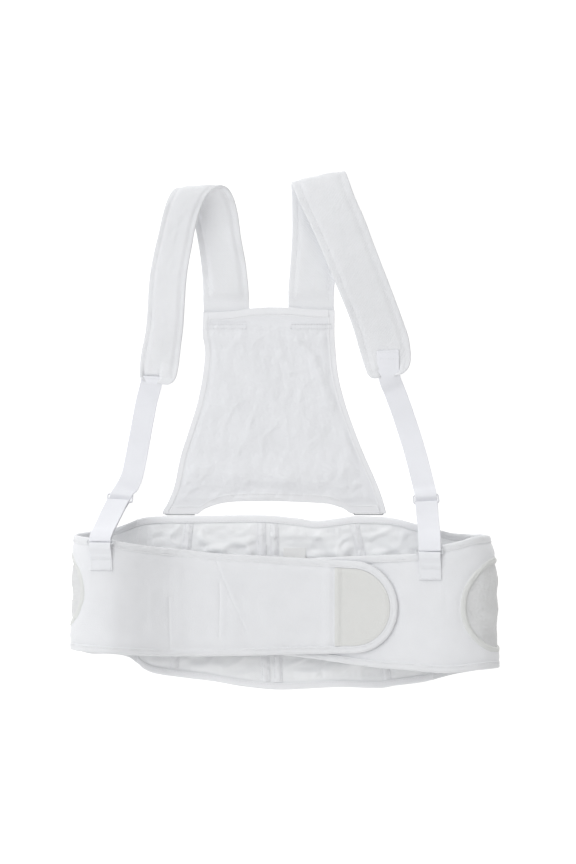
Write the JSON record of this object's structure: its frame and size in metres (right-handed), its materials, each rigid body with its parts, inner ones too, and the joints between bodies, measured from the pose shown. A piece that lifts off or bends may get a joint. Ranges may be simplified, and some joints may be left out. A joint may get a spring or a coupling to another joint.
{
  "type": "maternity support belt with shoulder straps",
  "caption": "White fabric support belt for pregnancy, closed in front, with a tall lumbar panel, upper back panel and padded shoulder straps, laid out flat.",
  "frame": {"origin": "on the surface that the belt lies on, under the middle of its outline", "axes": "+X across the belt to the right as seen from above, +Y up the back towards the straps, +Z away from the surface"},
  "size_m": [0.4366, 0.5322, 0.0661],
  "materials": {
    "cotton": "soft padded cotton knit, matt white",
    "net": "thin crinkled power net, white",
    "tape": "woven elastic tape and binding, white",
    "plastic": "moulded white plastic",
    "wire": "wire with a smooth white coat"
  },
  "bodies": {
    "root": {"front_band_left": "cotton", "front_band_right": "cotton", "closure_patch": "cotton", "back_panel": "cotton", "shoulder_strap_left": "cotton", "shoulder_strap_right": "cotton", "side_window_left": "net", "side_window_right": "net", "upper_back_panel": "net", "front_binding_left": "tape", "front_binding_right": "tape", "window_rim_left": "tape", "window_rim_right": "tape", "back_binding_top": "tape", "back_binding_bottom": "tape", "stay_channel_1": "tape", "stay_channel_2": "tape", "stay_channel_3": "tape", "stay_channel_4": "tape", "care_label": "tape", "upper_binding_left": "tape", "upper_binding_right": "tape", "upper_hem_top": "tape", "upper_hem_bottom": "tape", "elastic_left": "tape", "elastic_right": "tape", "tab_left": "tape", "tab_right": "tape", "slider_left": "plastic", "slider_right": "plastic", "hook_left": "wire", "hook_right": "wire", "back_hook_left": "wire", "back_hook_right": "wire"}
  },
  "joints": []
}
